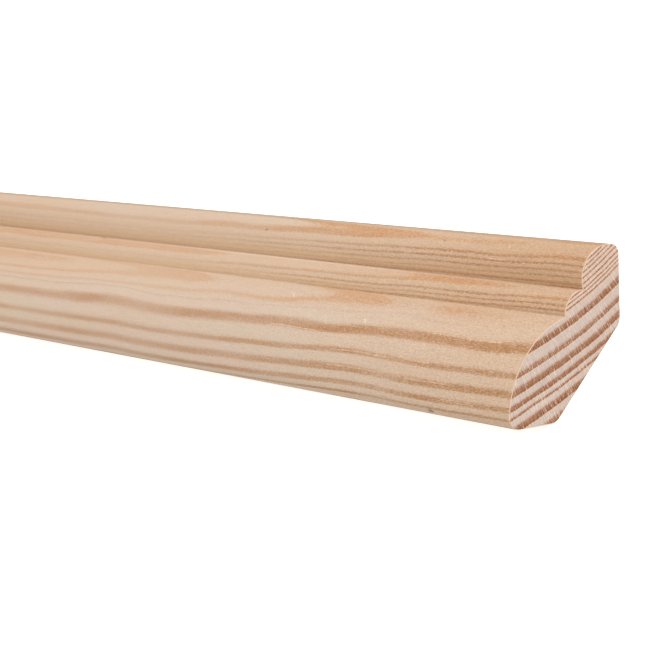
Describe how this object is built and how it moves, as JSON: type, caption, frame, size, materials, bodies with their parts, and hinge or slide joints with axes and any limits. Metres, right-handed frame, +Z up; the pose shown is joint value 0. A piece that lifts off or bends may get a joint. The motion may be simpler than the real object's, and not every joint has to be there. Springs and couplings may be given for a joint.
{
  "type": "pine moulding",
  "caption": "Long stick of planed pine cornice moulding, with a large ovolo, a small bead and a torus on its face and a flat back that spans the corner of wall and ceiling.",
  "frame": {"origin": "middle of the length and of the width, on the plane that the flat back lies on", "axes": "+X along the stick towards one sawn end, +Y across the back towards the wall edge, +Z up out of the back towards the moulded face"},
  "size_m": [2.4, 0.041, 0.0149],
  "materials": {
    "pine": "planed bare pine, sawn ends, no varnish"
  },
  "bodies": {
    "root": {"moulding": "pine"}
  },
  "joints": []
}
